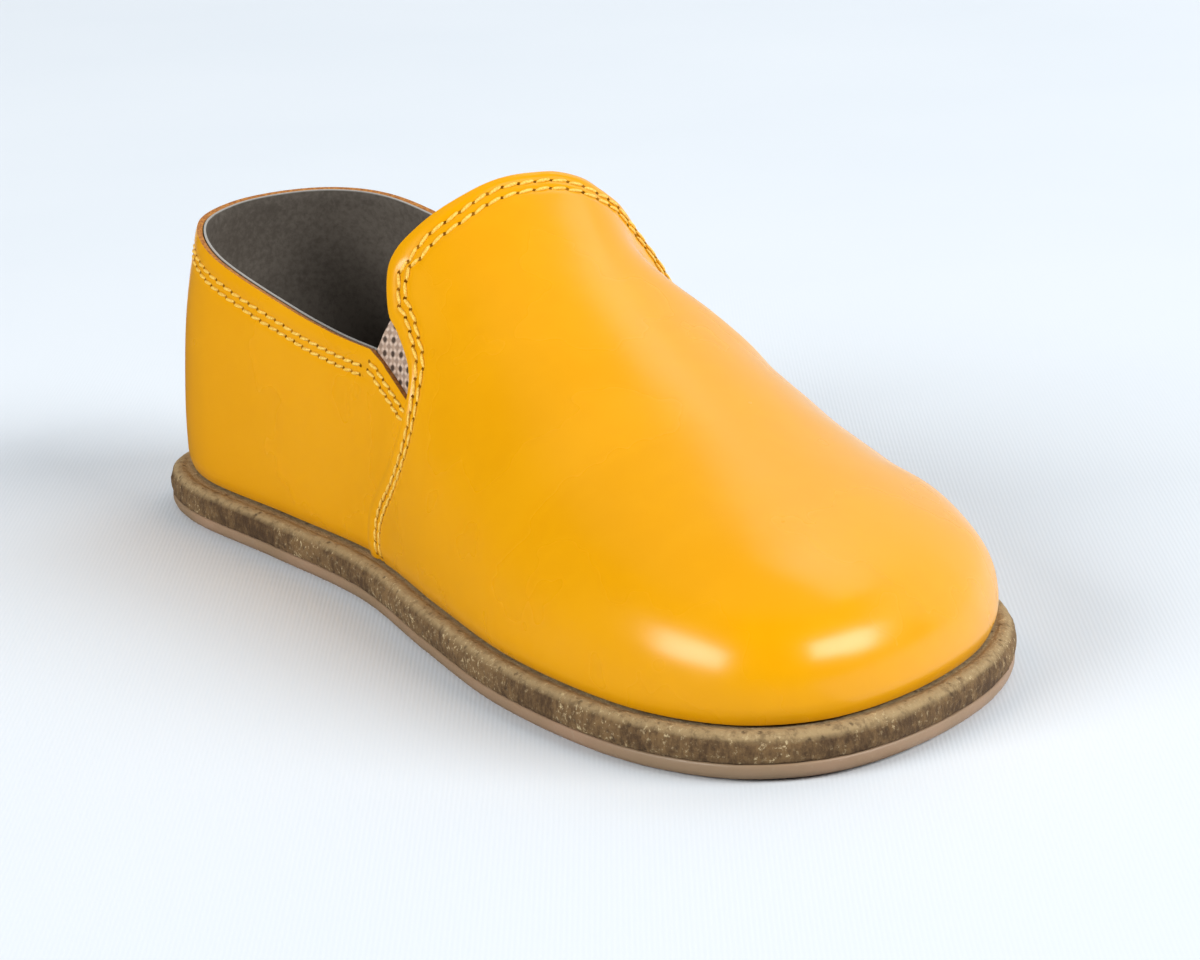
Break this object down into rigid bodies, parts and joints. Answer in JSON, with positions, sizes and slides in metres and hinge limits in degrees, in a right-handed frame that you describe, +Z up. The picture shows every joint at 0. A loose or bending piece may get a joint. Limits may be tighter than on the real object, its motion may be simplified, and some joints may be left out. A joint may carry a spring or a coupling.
{
  "type": "slip-on shoe",
  "caption": "Low child's slip-on shoe in smooth leather with a high rounded vamp, small elastic gores beside the collar and a flat rubber sole under a proud leather midsole edge.",
  "frame": {"origin": "middle of the sole's box, on the floor", "axes": "+X from heel to toe, +Y to the outer side of the foot, +Z up"},
  "size_m": [0.178, 0.0754, 0.0589],
  "materials": {
    "gum_rubber": "satin gum rubber",
    "midsole_leather": "rough cut leather edge",
    "insole_board": "matte dark grey",
    "upper_leather": "smooth glossy yellow",
    "elastic": "woven elastic"
  },
  "bodies": {
    "root": {"outsole": "gum_rubber", "midsole": "midsole_leather", "insole": "insole_board", "upper": "upper_leather", "gore_medial": "elastic", "gore_lateral": "elastic"}
  },
  "joints": []
}
